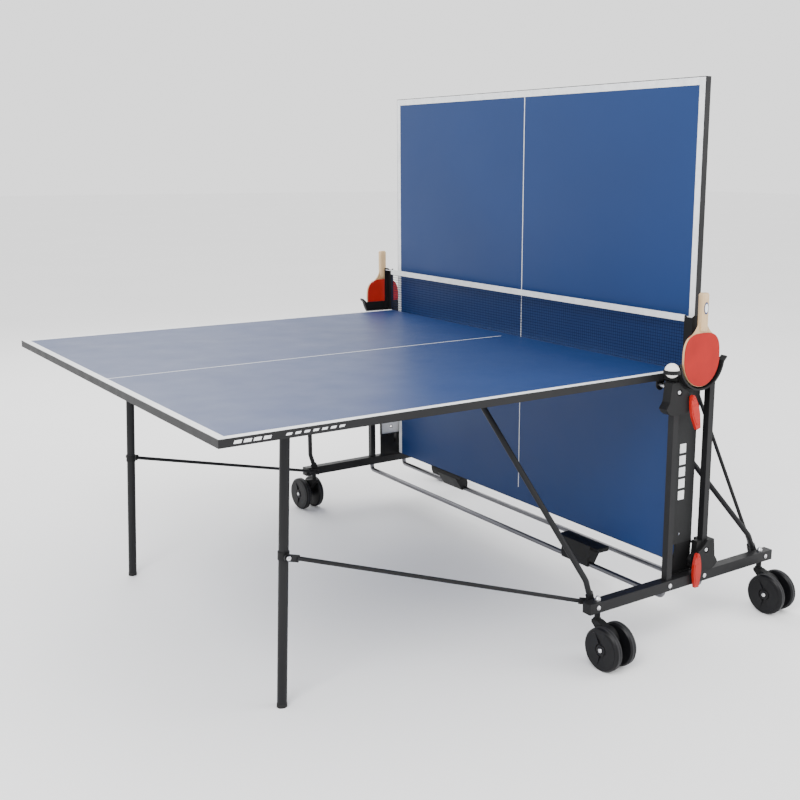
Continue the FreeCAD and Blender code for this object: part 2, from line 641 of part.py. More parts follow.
def frame_rivets():
    """Rivet heads on the beams and dome nuts over the caster stems."""
    pieces = []
    for word, out in (("end", "(stem_x + 10)"), ("post", "post_x")):
        start = (out, "side_y + beam_width / 2", "beam_low + beam_width / 2")
        head = cylinder(word + "_rivet_head", "6.5", "1.5", start, "Y")
        dome = cone(word + "_rivet_dome", "6", "3", "2",
                    (out, "side_y + beam_width / 2 + 1.5", "beam_low + beam_width / 2"), "Y")
        pieces.append(join(word + "_rivet", [head, dome]))
    top = "beam_low + beam_width"
    nut = cylinder("nut_base", "9", "4", ("stem_x", "side_y", top))
    dome = cone("nut_dome", "8", "4.5", "7", ("stem_x", "side_y", top + " + 4"))
    crown = cone("nut_crown", "4.5", "1.5", "2", ("stem_x", "side_y", top + " + 11"))
    pieces.append(join("dome_nut", [nut, dome, crown]))
    one = group("rivet_set", [both_sides(p.Name + "_pair", p) for p in pieces])
    keep(group("frame_rivets", [one, mirrored("rivet_set_mirrored", one, Vector(1, 0, 0))]),
         "frame_rivets", at_net(False))


def fold_rest(half):
    """A moulded block clipped over a cross bar, for the folded half's edge to stand on."""
    name = half + "_fold_rest"
    x, z, top = dim("bar_x"), dim("bar_up"), dim("fold_edge_up") + dim("edge_gap") - 0.5
    points = [(x - 12, z - 6), (x + 12, z - 6), (x + 14, z + 20), (x + 2, top), (x - 43, top), (x - 43, top - 14)]
    block = slab(name + "_block", points, "catch_y + catch_wide / 2", "catch_wide")
    flare = [(x - 3, top - 12), (x + 2, top), (x - 43, top), (x - 43, top - 12)]
    wing = slab(name + "_wing", flare, "catch_y + catch_wide / 2 + 32", "catch_wide + 64")
    bore = cylinder(name + "_bore", "bar_rad", "catch_wide + 80", ("bar_x", "catch_y - catch_wide / 2 - 40", "bar_up"), "Y")
    keep(cut(name, join(name + "_body", [block, wing]), bore), name, at_net(half == "left"))


# ---------------------------------------------------------------- casters

def caster_place(side, half):
    """Stem position of a caster with its trailing direction."""
    sign, out = SIDES[side], (-1 if half == "left" else 1)
    turn = dim("trail_turn") + (180 if side == "near" else 0)
    base = Vector(dim("net_x") + out * dim("stem_x"), sign * dim("side_y"), 0)
    return Placement(base, Rotation(Z_AXIS, turn))


def caster_fork(side, half):
    """Swivelling stem and arm with the axle of two wheels, drawn trailing along +X."""
    name = f"{side}_{half}_caster_fork"
    stem = cylinder(name + "_stem", "stem_rad", "stem_top - collar_up", ("0", "0", "collar_up"))
    collar = cylinder(name + "_collar", "collar_rad", "collar_high", ("0", "0", "collar_up"))
    x, z = dim("trail"), dim("wheel_rad")
    points = [(-11, 113), (-11, 121), (11, 121), (34, 113), ((x + 18, z + 34), (x + 17, z)),
              ((x, z - 17), (x - 17, z - 4)), (x - 30, z + 24)]
    arm = slab(name + "_arm", points, "arm_wide / 2", "arm_wide")
    half_axle = "(wheel_off + wheel_wide / 2 + 2)"
    axle = cylinder(name + "_axle", "axle_rad", f"2 * {half_axle}", ("trail", f"-{half_axle}", "wheel_rad"), "Y")
    keep(join(name, [stem, collar, arm, axle]), name, caster_place(side, half))


def caster_wheel(side, half, place, sign):
    """One wheel with bevelled tread edges and a dished outer face."""
    name = f"{side}_{half}_{place}_wheel"
    low = f"({sign} * wheel_off - wheel_wide / 2)"
    spot = lambda shift: ("trail", f"{low} + {shift}", "wheel_rad")
    edge = cone(name + "_edge", "wheel_rad - tread_edge", "wheel_rad", "tread_edge", spot("0"), "Y")
    tread = cylinder(name + "_tread", "wheel_rad", "wheel_wide - 2 * tread_edge", spot("tread_edge"), "Y")
    other = cone(name + "_other_edge", "wheel_rad", "wheel_rad - tread_edge", "tread_edge",
                 spot("(wheel_wide - tread_edge)"), "Y")
    solid = join(name + "_solid", [edge, tread, other])
    face = "(wheel_wide - dish_deep)" if sign > 0 else "0"
    sizes = ("hub_rad + 8", "dish_rad") if sign > 0 else ("dish_rad", "hub_rad + 8")
    dish = cone(name + "_dish", *sizes, "dish_deep", spot(face), "Y")
    hub = cylinder(name + "_hub", "hub_rad", "wheel_wide", spot("0"), "Y")
    bore = cylinder(name + "_bore", "axle_rad + fit_gap", "wheel_wide + 2", spot("-1"), "Y")
    keep(cut(name, join(name + "_body", [cut(name + "_dished", solid, dish), hub]), bore),
         name, caster_place(side, half))


# ---------------------------------------------------------------- net, rackets and balls

def net_posts():
    """Angle uprights with sloping tops that carry the net's ends."""
    pieces = []
    for side in SIDES:
        name = side + "_net_post"
        low, top = "post_top + 13", dim("surface_up") + dim("net_high")
        plate = box(name + "_plate", ("net_post_thick", "30", f"{top} + 10 - ({low})"), ("12", "770", low))
        web = box(name + "_web", ("17 + 4", "3", f"{top} + 4 - ({low})"), ("-4", "797", low))
        slope = slab(name + "_slope", [(10, top - 12), (20, top - 12), (20, top + 12), (10, top + 12)],
                     "800", "32")
        slope.Placement = Placement(Vector(), Rotation(Vector(1, 0, 0), -30), Vector(0, 800, top + 2))
        post = cut(name + "_one", join(name + "_body", [plate, web]), cut(name + "_tip", slope, box(
            name + "_tip_room", ("40", "60", "60"), ("0", "740", f"{top} - 62"))))
        post.Placement = Placement(Vector(), Rotation(Z_AXIS, 180 if side == "near" else 0))
        pieces.append(post)
    keep(group("net_posts", pieces), "net_posts", at_net(False))


def net_pieces():
    """The mesh, the tape over its top edge and the ties that hold it to the posts."""
    top = "surface_up + net_high"
    mesh = box("net_mesh", ("net_thick", "2 * net_half", "net_high - 1 - tape_high / 2"),
               ("-net_thick / 2", "-net_half", "surface_up + 1"))
    outer = box("tape_outer", ("tape_thick", "2 * net_half", "tape_high"),
                ("-tape_thick / 2", "-net_half", top + " - tape_high + 1"))
    tape = cut("net_tape", outer, doc.copyObject(mesh))
    one = cylinder("net_tie", "cord_rad", "797 - net_half", ("0", "net_half", top + " - 3"), "Y")
    keep(group("net", [mesh]), "net", at_net(False))
    keep(tape, "net_tape", at_net(False))
    keep(both_sides("net_ties", one), "net_ties", at_net(False))


def racket_holder(side):
    """One moulding over the post tops: mast, racket cradle and ball ring."""
    name = side + "_racket_holder"
    r, z = dim("holder_rad"), dim("racket_up")
    cap = box(name + "_cap", ("164", "810 - plate_y", "13"), ("-82", "plate_y", "post_top"))
    mast = box(name + "_mast", ("plate_high_x - plate_low_x", "19", "post_top - plate_top + 1"),
               ("plate_low_x", "plate_y", "plate_top"))
    chord = math.sqrt(r * r - 144)
    back = slab(name + "_back", [(-chord, z - 12), ((0, z - r), (chord, z - 12))], "812", "holder_skin")
    ledge_out, ledge_in = dim("ledge_rad") + dim("ledge_skin"), dim("ledge_rad")
    ledge = slab(name + "_ledge", [
        (-ledge_out - 12, z - 2), (-ledge_out, z - 14), ((0, z - ledge_out), (ledge_out, z - 14)),
        (ledge_out + 12, z - 2), (ledge_out + 8, z + 2), (ledge_in, z - 10), ((0, z - ledge_in), (-ledge_in, z - 10)),
        (-ledge_out - 8, z + 2)], "812 + ledge_deep", "ledge_deep + 1")
    ring = cylinder(name + "_ring", "ring_in + ring_skin", "10.5", ("ball_x", "ball_y", "ball_up - 8.5"))
    body = join(name + "_body", [cap, mast, back, ledge, ring])
    bore = cylinder(name + "_bore", "ring_in", "60", ("ball_x", "ball_y", "ball_up - 40"))
    room = cylinder(name + "_room", "ball_rad + 0.5", "60", ("ball_x", "ball_y", "ball_up - 7.4"))
    keep(cut(name, body, join(name + "_void", [bore, room])), name, at_net(side == "near"))


def racket(side):
    """Plywood blade and handle of one racket, and its two rubber sheets."""
    name = side + "_racket"
    blade = cylinder(name + "_blade", "blade_rad", "blade_thick",
                     ("0", "racket_y - blade_thick / 2", "racket_up"), "Y")
    z = dim("rubber_top")
    neck = slab(name + "_neck", [(-34, z - 8), ((-20, z + 5), (-12, z + 24)), (12, z + 24),
                                 ((20, z + 5), (34, z - 8))], "racket_y + blade_thick / 2", "blade_thick")
    handle = box(name + "_handle", ("handle_wide", "handle_deep", "handle_top - rubber_top - 4"),
                 ("-handle_wide / 2", "racket_y - handle_deep / 2", "rubber_top + 4"))
    keep(join(name, [blade, neck, handle]), name, at_net(side == "near"))
    sheets = []
    for word, low_y in (("inner", "racket_y - blade_thick / 2 - rubber_thick"),
                        ("outer", "racket_y + blade_thick / 2")):
        disc = cylinder(f"{name}_{word}_disc", "blade_rad", "rubber_thick", ("0", low_y, "racket_up"), "Y")
        above = box(f"{name}_{word}_above", ("200", "20", "60"), ("-100", low_y + " - 5", "rubber_top"))
        sheets.append(cut(f"{name}_{word}_sheet", disc, above))
    keep(group(name + "_rubber", sheets), name + "_rubber", at_net(side == "near"))


def ball(side):
    item = doc.addObject("Part::Sphere", side + "_ball")
    bind(item, "Radius", "ball_rad")
    spot = Vector(dim("ball_x"), dim("ball_y"), dim("ball_up"))
    keep(item, side + "_ball", at_net(side == "near").multiply(Placement(spot, Rotation())))


# ---------------------------------------------------------------- build, check and export

side_beams()
beam_end_caps()
posts()
plate_feet()
cross_bars()
frame_rivets()
net_posts()
net_pieces()
for side_name in SIDES:
    cover_plate(side_name)
    racket_holder(side_name)
    racket(side_name)
    ball(side_name)
    for half_name in HALVES:
        caster_fork(side_name, half_name)
        for wheel_place, wheel_sign in (("inner", -1), ("outer", 1)):
            caster_wheel(side_name, half_name, wheel_place, wheel_sign)
for half_name in HALVES:
    for draw in (board, rim, pin_brackets, pivot_pins, leg_brackets, fold_rest, leg_frame,
                 leg_feet, rod_clips, struts, rods, carriages):
        draw(half_name)
    for side_name in SIDES:
        lever(half_name, side_name)
doc.recompute()

for item in doc.Objects:
    assert not {"Invalid", "Error"} & set(item.State), item.Name
os.makedirs("parts", exist_ok=True)
for item in nodes:
    assert not item.Shape.isNull() and item.Shape.isValid(), item.Label
    item.Shape.exportStep(f"parts/{item.Label}.step")
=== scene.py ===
import math

import bmesh
import bpy
from mathutils import Matrix, Vector, geometry


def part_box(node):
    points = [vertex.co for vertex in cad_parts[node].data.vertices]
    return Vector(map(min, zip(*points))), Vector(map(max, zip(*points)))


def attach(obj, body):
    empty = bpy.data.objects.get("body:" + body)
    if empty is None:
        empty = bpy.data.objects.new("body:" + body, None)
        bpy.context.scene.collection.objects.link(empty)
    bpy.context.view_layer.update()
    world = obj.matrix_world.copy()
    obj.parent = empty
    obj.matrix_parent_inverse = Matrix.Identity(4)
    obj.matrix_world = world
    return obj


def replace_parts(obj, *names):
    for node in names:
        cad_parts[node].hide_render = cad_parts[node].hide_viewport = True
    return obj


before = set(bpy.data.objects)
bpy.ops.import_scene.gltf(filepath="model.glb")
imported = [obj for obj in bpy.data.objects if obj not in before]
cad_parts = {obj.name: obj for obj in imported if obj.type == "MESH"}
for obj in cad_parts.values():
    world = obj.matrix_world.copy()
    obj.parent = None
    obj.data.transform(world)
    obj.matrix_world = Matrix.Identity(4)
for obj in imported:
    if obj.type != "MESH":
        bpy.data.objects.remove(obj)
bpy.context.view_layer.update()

# The vertical axis through the net's middle, and the side planes, all read from the CAD.
NET_LOW, NET_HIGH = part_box("net")
NET_X = (NET_LOW[0] + NET_HIGH[0]) / 2
SIDES = {"near": -1, "far": 1}
HALVES = ("left", "right")


# ---------------------------------------------------------------- materials

class Mat:
    """A procedural material: small helpers round one node tree."""

    def __init__(self, name, rough=0.5, metal=0.0, specular=0.5, coat=0.0, sheen=0.0):
        self.mat = bpy.data.materials.new(name)
        self.mat.use_nodes = True
        self.tree = self.mat.node_tree
        self.tree.nodes.clear()
        self.out = self.node("ShaderNodeOutputMaterial")
        self.bsdf = self.node("ShaderNodeBsdfPrincipled")
        self.link(self.bsdf.outputs[0], self.out.inputs[0])
        for key, value in (("Roughness", rough), ("Metallic", metal), ("Specular IOR Level", specular),
                           ("Coat Weight", coat), ("Sheen Weight", sheen)):
            self.bsdf.inputs[key].default_value = value
        self.coords = self.node("ShaderNodeTexCoord").outputs["Object"]

    def node(self, kind, **props):
        node = self.tree.nodes.new(kind)
        for key, value in props.items():
            setattr(node, key, value)
        return node

    def link(self, a, b):
        self.tree.links.new(a, b)

    def stretched(self, scale):
        mapping = self.node("ShaderNodeMapping")
        mapping.inputs["Scale"].default_value = scale
        self.link(self.coords, mapping.inputs["Vector"])
        return mapping.outputs[0]

    def noise(self, scale, detail=3.0, rough=0.5, stretch=(1, 1, 1)):
        node = self.node("ShaderNodeTexNoise")
        node.inputs["Scale"].default_value = scale
        node.inputs["Detail"].default_value = detail
        node.inputs["Roughness"].default_value = rough
        self.link(self.stretched(stretch), node.inputs["Vector"])
        return node.outputs["Fac"]

    def cells(self, scale, feature="F1"):
        node = self.node("ShaderNodeTexVoronoi", feature=feature)
        node.inputs["Scale"].default_value = scale
        self.link(self.coords, node.inputs["Vector"])
        return node.outputs["Distance"]

    def ramp(self, fac, *stops):
        node = self.node("ShaderNodeValToRGB")
        node.color_ramp.elements[0].position = stops[0][0]
        node.color_ramp.elements[-1].position = stops[-1][0]
        for at, color in stops[1:-1]:
            node.color_ramp.elements.new(at)
        for element, (at, color) in zip(node.color_ramp.elements, stops):
            element.position = at
            element.color = (*color, 1) if hasattr(color, "__len__") else (color, color, color, 1)
        self.link(fac, node.inputs["Fac"])
        return node.outputs["Color"]

    def mix(self, fac, a, b):
        node = self.node("ShaderNodeMix", data_type="RGBA")
        for socket, value in ((node.inputs[0], fac), (node.inputs[6], a), (node.inputs[7], b)):
            if hasattr(value, "links"):
                self.link(value, socket)
            elif hasattr(value, "__len__"):
                socket.default_value = (*value, 1)
            else:
                socket.default_value = value
        return node.outputs[2]

    def math(self, operation, a, b=0.0):
        node = self.node("ShaderNodeMath", operation=operation)
        for socket, value in zip(node.inputs, (a, b)):
            if hasattr(value, "links"):
                self.link(value, socket)
            else:
                socket.default_value = value
        return node.outputs[0]

    def axis(self, which):
        node = self.node("ShaderNodeSeparateXYZ")
        self.link(self.coords, node.inputs[0])
        return node.outputs[which]

    def colour(self, value):
        self.link(value, self.bsdf.inputs["Base Color"])

    def rough(self, fac, low, high):
        node = self.node("ShaderNodeMapRange")
        node.inputs["To Min"].default_value = low
        node.inputs["To Max"].default_value = high
        self.link(fac, node.inputs["Value"])
        self.link(node.outputs[0], self.bsdf.inputs["Roughness"])

    def bump(self, height, strength=0.3, distance=0.001):
        node = self.node("ShaderNodeBump")
        node.inputs["Strength"].default_value = strength
        node.inputs["Distance"].default_value = distance
        self.link(height, node.inputs["Height"])
        self.link(node.outputs[0], self.bsdf.inputs["Normal"])


def shade(color, by):
    return tuple(max(0.0, c * by) for c in color)


def coated(name, color, rough=0.42, fleck=260, strength=0.12, coat=0.0, metal=0.0, wear=0.0):
    """Powder coat or moulded plastic: fine orange peel, slow tone drift and faint scuffs."""
    m = Mat(name, rough=rough, metal=metal, specular=0.17, coat=coat)
    drift = m.ramp(m.noise(5, 4), (0.3, shade(color, 0.86)), (0.7, shade(color, 1.14)))
    scuff = m.ramp(m.noise(38, 6, 0.7), (0.62, 0.0), (0.78, 1.0))
    m.colour(m.mix(m.math("MULTIPLY", scuff, 0.25 + wear), drift, shade(color, 1.9)))
    m.rough(m.noise(24, 4), rough - 0.08, rough + 0.12)
    m.bump(m.noise(fleck, 2), strength, 0.0004)
    return m.mat


def metal(name, color, rough, brushed=0.0):
    """Plated or brushed metal with a faint draw grain and cloudy gloss."""
    m = Mat(name, rough=rough, metal=1.0)
    grain = m.noise(90, 3, 0.6, (1, 0.06, 1))
    m.colour(m.ramp(m.noise(14, 4), (0.3, shade(color, 0.84)), (0.7, shade(color, 1.06))))
    m.rough(grain, rough * 0.7, rough * 1.5 + brushed)
    m.bump(grain, 0.04 + brushed, 0.0002)
    return m.mat


def table_top(name, color):
    """Painted board: deep satin blue with fine roller stipple and light ball marks."""
    m = Mat(name, rough=0.4, specular=0.22)
    base = m.ramp(m.noise(2.2, 5), (0.25, shade(color, 0.93)), (0.75, shade(color, 1.07)))
    marks = m.ramp(m.noise(60, 8, 0.75), (0.66, 0.0), (0.8, 1.0))
    m.colour(m.mix(m.math("MULTIPLY", marks, 0.12), base, shade(color, 1.8)))
    m.rough(m.noise(9, 4), 0.33, 0.5)
    m.bump(m.noise(420, 2), 0.10, 0.0003)
    return m.mat


def line_paint(name):
    m = Mat(name, rough=0.45)
    m.colour(m.ramp(m.noise(30, 6, 0.7), (0.3, (0.66, 0.68, 0.70)), (0.6, (0.80, 0.81, 0.82))))
    m.rough(m.noise(60, 3), 0.4, 0.6)
    m.bump(m.noise(500, 2), 0.12, 0.0003)
    return m.mat


def plywood(name, color):
    """Varnished blade: long grain lines with fine pores."""
    m = Mat(name, rough=0.38, coat=0.25)
    rings = m.noise(34, 6, 0.6, (1, 1, 0.07))
    pores = m.noise(160, 3, 0.5, (1, 1, 0.05))
    base = m.ramp(rings, (0.3, shade(color, 0.62)), (0.5, color), (0.7, shade(color, 1.18)))
    m.colour(m.mix(m.math("MULTIPLY", pores, 0.35), base, shade(color, 0.55)))
    m.rough(pores, 0.32, 0.55)
    m.bump(pores, 0.2, 0.0003)
    return m.mat


def sheet_rubber(name, color):
    """Smooth bat rubber with the dimple rows underneath just telling through."""
    m = Mat(name, rough=0.5, specular=0.15)
    m.colour(m.ramp(m.noise(20, 5), (0.3, shade(color, 0.88)), (0.7, shade(color, 1.1))))
    m.rough(m.noise(40, 3), 0.42, 0.58)
    m.bump(m.cells(620), 0.18, 0.0003)
    return m.mat


def tread_rubber(name, color):
    m = Mat(name, rough=0.75, specular=0.3)
    dust = m.ramp(m.noise(22, 6, 0.7), (0.5, 0.0), (0.8, 1.0))
    m.colour(m.mix(m.math("MULTIPLY", dust, 0.35), color, shade(color, 2.6)))
    m.rough(m.noise(50, 3), 0.65, 0.85)
    m.bump(m.noise(300, 3), 0.3, 0.0005)
    return m.mat


def woven(name, color, pitch=0.0011):
    """Plain woven tape: crossing threads in bump and tone."""
    m = Mat(name, rough=0.85, specular=0.12)
    across = m.math("SINE", m.math("MULTIPLY", m.axis(1), 2 * math.pi / pitch))
    up = m.math("SINE", m.math("MULTIPLY", m.axis(2), 2 * math.pi / pitch))
    threads = m.math("MULTIPLY", across, up)
    tone = m.ramp(m.noise(40, 5), (0.3, shade(color, 0.82)), (0.7, color))
    m.colour(m.mix(m.math("MULTIPLY", m.math("ABSOLUTE", threads), 0.3), tone, shade(color, 0.7)))
    m.bump(threads, 0.4, 0.0003)
    return m.mat


BLUE = (0.009, 0.032, 0.120)
CHARCOAL = (0.013, 0.0133, 0.014)
MATS = {
    "top": table_top("playing_paint", BLUE),
    "line": line_paint("line_paint"),
    "rim": coated("rim_coat", (0.013, 0.013, 0.014), 0.45, 300, 0.12),
    "steel": coated("frame_coat", (0.010, 0.010, 0.011), 0.4, 300, 0.12),
    "plate": coated("plate_coat", CHARCOAL, 0.5, 300, 0.14),
    "pale": coated("plate_inside_coat", (0.75, 0.76, 0.77), 0.55, 300, 0.12),
    "chrome": metal("bright_plating", (0.15, 0.15, 0.16), 0.3),
    "zinc": metal("zinc_plating", (0.66, 0.66, 0.68), 0.3, 0.08),
    "plastic": coated("black_moulding", (0.007, 0.007, 0.0075), 0.5, 420, 0.3),
    "wheel": coated("wheel_moulding", (0.005, 0.005, 0.006), 0.34, 360, 0.22),
    "tread": tread_rubber("tread_rubber", (0.018, 0.018, 0.020)),
    "boot": tread_rubber("boot_rubber", (0.010, 0.010, 0.010)),
    "red": coated("red_moulding", (0.36, 0.012, 0.008), 0.34, 320, 0.12, coat=0.1),
    "wood": plywood("blade_wood", (0.52, 0.34, 0.17)),
    "grip": plywood("handle_wood", (0.58, 0.40, 0.21)),
    "rubber": sheet_rubber("bat_rubber", (0.33, 0.012, 0.009)),
    "ball": coated("ball_moulding", (0.82, 0.80, 0.76), 0.45, 500, 0.1),
    "mesh": woven("net_thread", (0.008, 0.014, 0.050), 0.0009),
    "tape": woven("net_tape_weave", (0.78, 0.79, 0.80)),
}


def dress(node, key):
    """Give a carried-over CAD node its material."""
    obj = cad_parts[node]
    slots = obj.material_slots
    if len(slots) == 0:
        raise SystemExit(f"{node} has no slot")
    for slot in slots:
        slot.material = MATS[key]
    return obj


NODE_LOOKS = {
    "steel": ["side_beams", "posts"] + [f"{h}_{n}" for h in HALVES for n in
              ("leg_frame", "struts", "rods", "pin_brackets")],
    "rim": [f"{h}_rim" for h in HALVES],
    "top": [f"{h}_board" for h in HALVES],
    "plate": [f"{s}_cover_plate" for s in SIDES],
    "chrome": ["cross_bars"],
    "zinc": ["frame_rivets"] + [f"{h}_pivot_pins" for h in HALVES],
    "plastic": ["plate_feet", "beam_end_caps", "net_posts"] + [f"{s}_racket_holder" for s in SIDES]
               + [f"{h}_{n}" for h in HALVES for n in ("leg_brackets", "fold_rest", "rod_clips", "carriages")]
               + [f"{s}_{h}_caster_fork" for s in SIDES for h in HALVES],
    "wheel": [f"{s}_{h}_{p}_wheel" for s in SIDES for h in HALVES for p in ("inner", "outer")],
    "boot": [f"{h}_leg_feet" for h in HALVES],
    "red": [f"{h}_{s}_lever" for h in HALVES for s in SIDES],
    "wood": [f"{s}_racket" for s in SIDES],
    "rubber": [f"{s}_racket_rubber" for s in SIDES],
    "ball": [f"{s}_ball" for s in SIDES],
    "tape": ["net_tape", "net_ties"],
}
for look, names in NODE_LOOKS.items():
    for name in names:
        dress(name, look)


# ---------------------------------------------------------------- mesh helpers

def new_object(name, mesh, key, body):
    obj = bpy.data.objects.new(name, mesh)
    bpy.context.scene.collection.objects.link(obj)
    mesh.materials.append(MATS[key])
    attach(obj, body)
    return obj


def from_bmesh(name, bm, key, body, smooth=False):
    mesh = bpy.data.meshes.new(name)
    bmesh.ops.recalc_face_normals(bm, faces=bm.faces)
    bm.to_mesh(mesh)
    bm.free()
    for polygon in mesh.polygons:
        polygon.use_smooth = smooth
    return new_object(name, mesh, key, body)


def add_block(bm, low, high, matrix=None, bevel=0.0):
    """A box from corner to corner, its edges bevelled when asked."""
    low, high = Vector(low), Vector(high)
    made = bmesh.ops.create_cube(bm, size=1.0)
    verts = made["verts"]
    size, middle = high - low, (high + low) / 2
    for vert in verts:
        vert.co = Vector(c * s for c, s in zip(vert.co, size)) + middle
        if matrix:
            vert.co = matrix @ vert.co
    if bevel:
        edges = {edge for vert in verts for edge in vert.link_edges}
        bmesh.ops.bevel(bm, geom=list(edges), offset=bevel, segments=2, affect="EDGES")


def turned(bm, profile, centre, axis, segments=48):
    """A solid of revolution: profile of (radius, along) points about an axis."""
    axis = Vector(axis).normalized()
    side = axis.orthogonal().normalized()
    other = axis.cross(side)
    rings = []
    for radius, along in profile:
        ring = []
        for i in range(segments):
            angle = 2 * math.pi * i / segments
            spot = Vector(centre) + axis * along + (side * math.cos(angle) + other * math.sin(angle)) * radius
            ring.append(bm.verts.new(spot))
        rings.append(ring)
    for a, b in zip(rings, rings[1:]):
        for i in range(segments):
            j = (i + 1) % segments
            bm.faces.new((a[i], a[j], b[j], b[i]))
    bm.faces.new(rings[0][::-1])
    bm.faces.new(rings[-1])


# ---------------------------------------------------------------- playing lines

def half_frame(half):
    """Map (out, across, above) of a half to the row frame, from its board's box."""
    low, high = (Vector(c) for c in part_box(half + "_board"))
    if half == "left":
        return lambda out, across, up: Vector((high.x - out, across, high.z + up))
    return lambda out, across, up: Vector((low.x - up, across, low.z + out))


def board_length(half):
    low, high = (Vector(c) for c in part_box(half + "_board"))
    return (high - low).x if half == "left" else (high - low).z


def lines(half):
    """White edge lines and the thin centre line, a paint film above the board."""
    at, long = half_frame(half), board_length(half)
    wide = (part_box(half + "_board")[1][1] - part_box(half + "_board")[0][1]) / 2
    bm = bmesh.new()
    strips = [((0.0, -wide), (long, -wide + 0.020)), ((0.0, wide - 0.020), (long, wide)),
              ((long - 0.020, -wide + 0.020), (long, wide - 0.020)), ((0.045, -0.0015), (long - 0.020, 0.0015))]
    for (o0, c0), (o1, c1) in strips:
        low, high = at(o0, c0, 0.0), at(o1, c1, 0.0004)
        corner_low = [min(a, b) for a, b in zip(low, high)]
        corner_high = [max(a, b) for a, b in zip(low, high)]
        add_block(bm, corner_low, corner_high)
    from_bmesh(f"{half}_lines", bm, "line", f"{half}_top")


for half in HALVES:
    lines(half)


# ---------------------------------------------------------------- net

def net_mesh():
    """The open mesh: flat crossing threads on a square pitch, one thin sheet."""
    low, high = Vector(NET_LOW), Vector(NET_HIGH)
    pitch, thread = 0.0090, 0.0015
    bm = bmesh.new()
    count_y = round((high.y - low.y) / pitch)
    count_z = round((high.z - low.z) / pitch)
    step_y, step_z = (high.y - low.y - thread) / count_y, (high.z - low.z - thread) / count_z
    grid = []
    ys = [y for i in range(count_y + 1) for y in (low.y + i * step_y, low.y + i * step_y + thread)]
    zs = [z for i in range(count_z + 1) for z in (low.z + i * step_z, low.z + i * step_z + thread)]
    for y in ys:
        grid.append([bm.verts.new((NET_X, y, z)) for z in zs])
    for i in range(len(ys) - 1):
        for j in range(len(zs) - 1):
            if i % 2 == 0 or j % 2 == 0:
                bm.faces.new((grid[i][j], grid[i + 1][j], grid[i + 1][j + 1], grid[i][j + 1]))
    obj = from_bmesh("net_mesh", bm, "mesh", "frame")
    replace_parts(obj, "net")


net_mesh()


# ---------------------------------------------------------------- small fittings

def on_net(x, y, z):
    """A point given from the net's middle axis."""
    return Vector((NET_X + x, y, z))


def side_point(side, x, y, z):
    """A point drawn at the far side, turned half a turn for the near side."""
    sign = SIDES[side]
    return on_net(sign * x, sign * y, z)


def screw(name, spot, axis, radius, body, key="zinc"):
    """A turned pan head screw with a shallow round recess in its head."""
    bm = bmesh.new()
    turned(bm, [(radius, 0.0), (radius, radius * 0.25), (radius * 0.8, radius * 0.45),
                (radius * 0.42, radius * 0.55), (radius * 0.3, radius * 0.3)], spot, axis, 28)
    return from_bmesh(name, bm, key, body, True)


def tray_lining(side):
    """The pale coat inside a cover plate's tray, with its stamped stiffening bead."""
    low, high = (Vector(c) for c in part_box(f"{side}_cover_plate"))
    sign = SIDES[side]
    floor_y = (high.y - 0.002) if sign > 0 else (low.y + 0.002)
    bm = bmesh.new()
    y0, y1 = sorted((floor_y, floor_y - sign * 0.0004))
    hole_x, hole_z = NET_X + sign * 0.006, low.z + 0.028
    for x0, z0, x1, z1 in ((low.x + 0.0022, hole_z + 0.006, high.x - 0.0022, high.z - 0.0022),
                           (low.x + 0.0022, low.z + 0.0022, high.x - 0.0022, hole_z - 0.006),
                           (low.x + 0.0022, hole_z - 0.006, hole_x - 0.006, hole_z + 0.006),
                           (hole_x + 0.006, hole_z - 0.006, high.x - 0.0022, hole_z + 0.006)):
        add_block(bm, (x0, y0, z0), (x1, y1, z1))
    for x in (low.x + 0.024, high.x - 0.030):
        add_block(bm, (x, y0 - 0.0008 * (sign > 0), low.z + 0.05), (x + 0.006, y1 + 0.0008 * (sign < 0), high.z - 0.03))
    from_bmesh(f"{side}_tray_lining", bm, "pale", "frame")


def prism(bm, outline, place, low, high, chamfer=0.0):
    """A flat plate: an outline of (across, up) points, its outer edges chamfered when asked."""
    steps = [(low, 1.0), (high, 1.0)]
    if chamfer:
        steps = [(low, 1.0), (high - chamfer, 1.0), (high, 1.0 - 2.5 * chamfer / 0.07)]
    rings = [[bm.verts.new(place(x * share, at, z * share)) for x, z in outline] for at, share in steps]
    for a, b in zip(rings, rings[1:]):
        for i in range(len(outline)):
            j = (i + 1) % len(outline)
            bm.faces.new((a[i], a[j], b[j], b[i]))
    bm.faces.new(rings[0][::-1])
    bm.faces.new(rings[-1])


def bat_point(angle, wide, low, high):
    """The bat's outline: round below, squarer above."""
    c, s = math.cos(angle), math.sin(angle)
    power = 2 / 3.1 if s > 0 else 1.0
    deep = high if s > 0 else low
    return wide * math.copysign(abs(c) ** power, c), deep * math.copysign(abs(s) ** power, s)


def blade_outline(wide, low, high):
    """Round the blade from shoulder to shoulder, then up into the handle."""
    corner = math.radians(50)
    points = [bat_point(math.pi - corner + (math.pi + 2 * corner) * i / 72, wide, low, high) for i in range(73)]
    (x0, z0), (x1, z1), (x2, z2) = points[-1], (0.020, high + 0.003), (0.0135, high + 0.030)
    shoulder = []
    for i in range(1, 9):
        t = i / 8
        shoulder.append(((1 - t) ** 2 * x0 + 2 * t * (1 - t) * x1 + t * t * x2,
                         (1 - t) ** 2 * z0 + 2 * t * (1 - t) * z1 + t * t * z2))
    return points + shoulder + [(-x, z) for x, z in reversed(shoulder)]


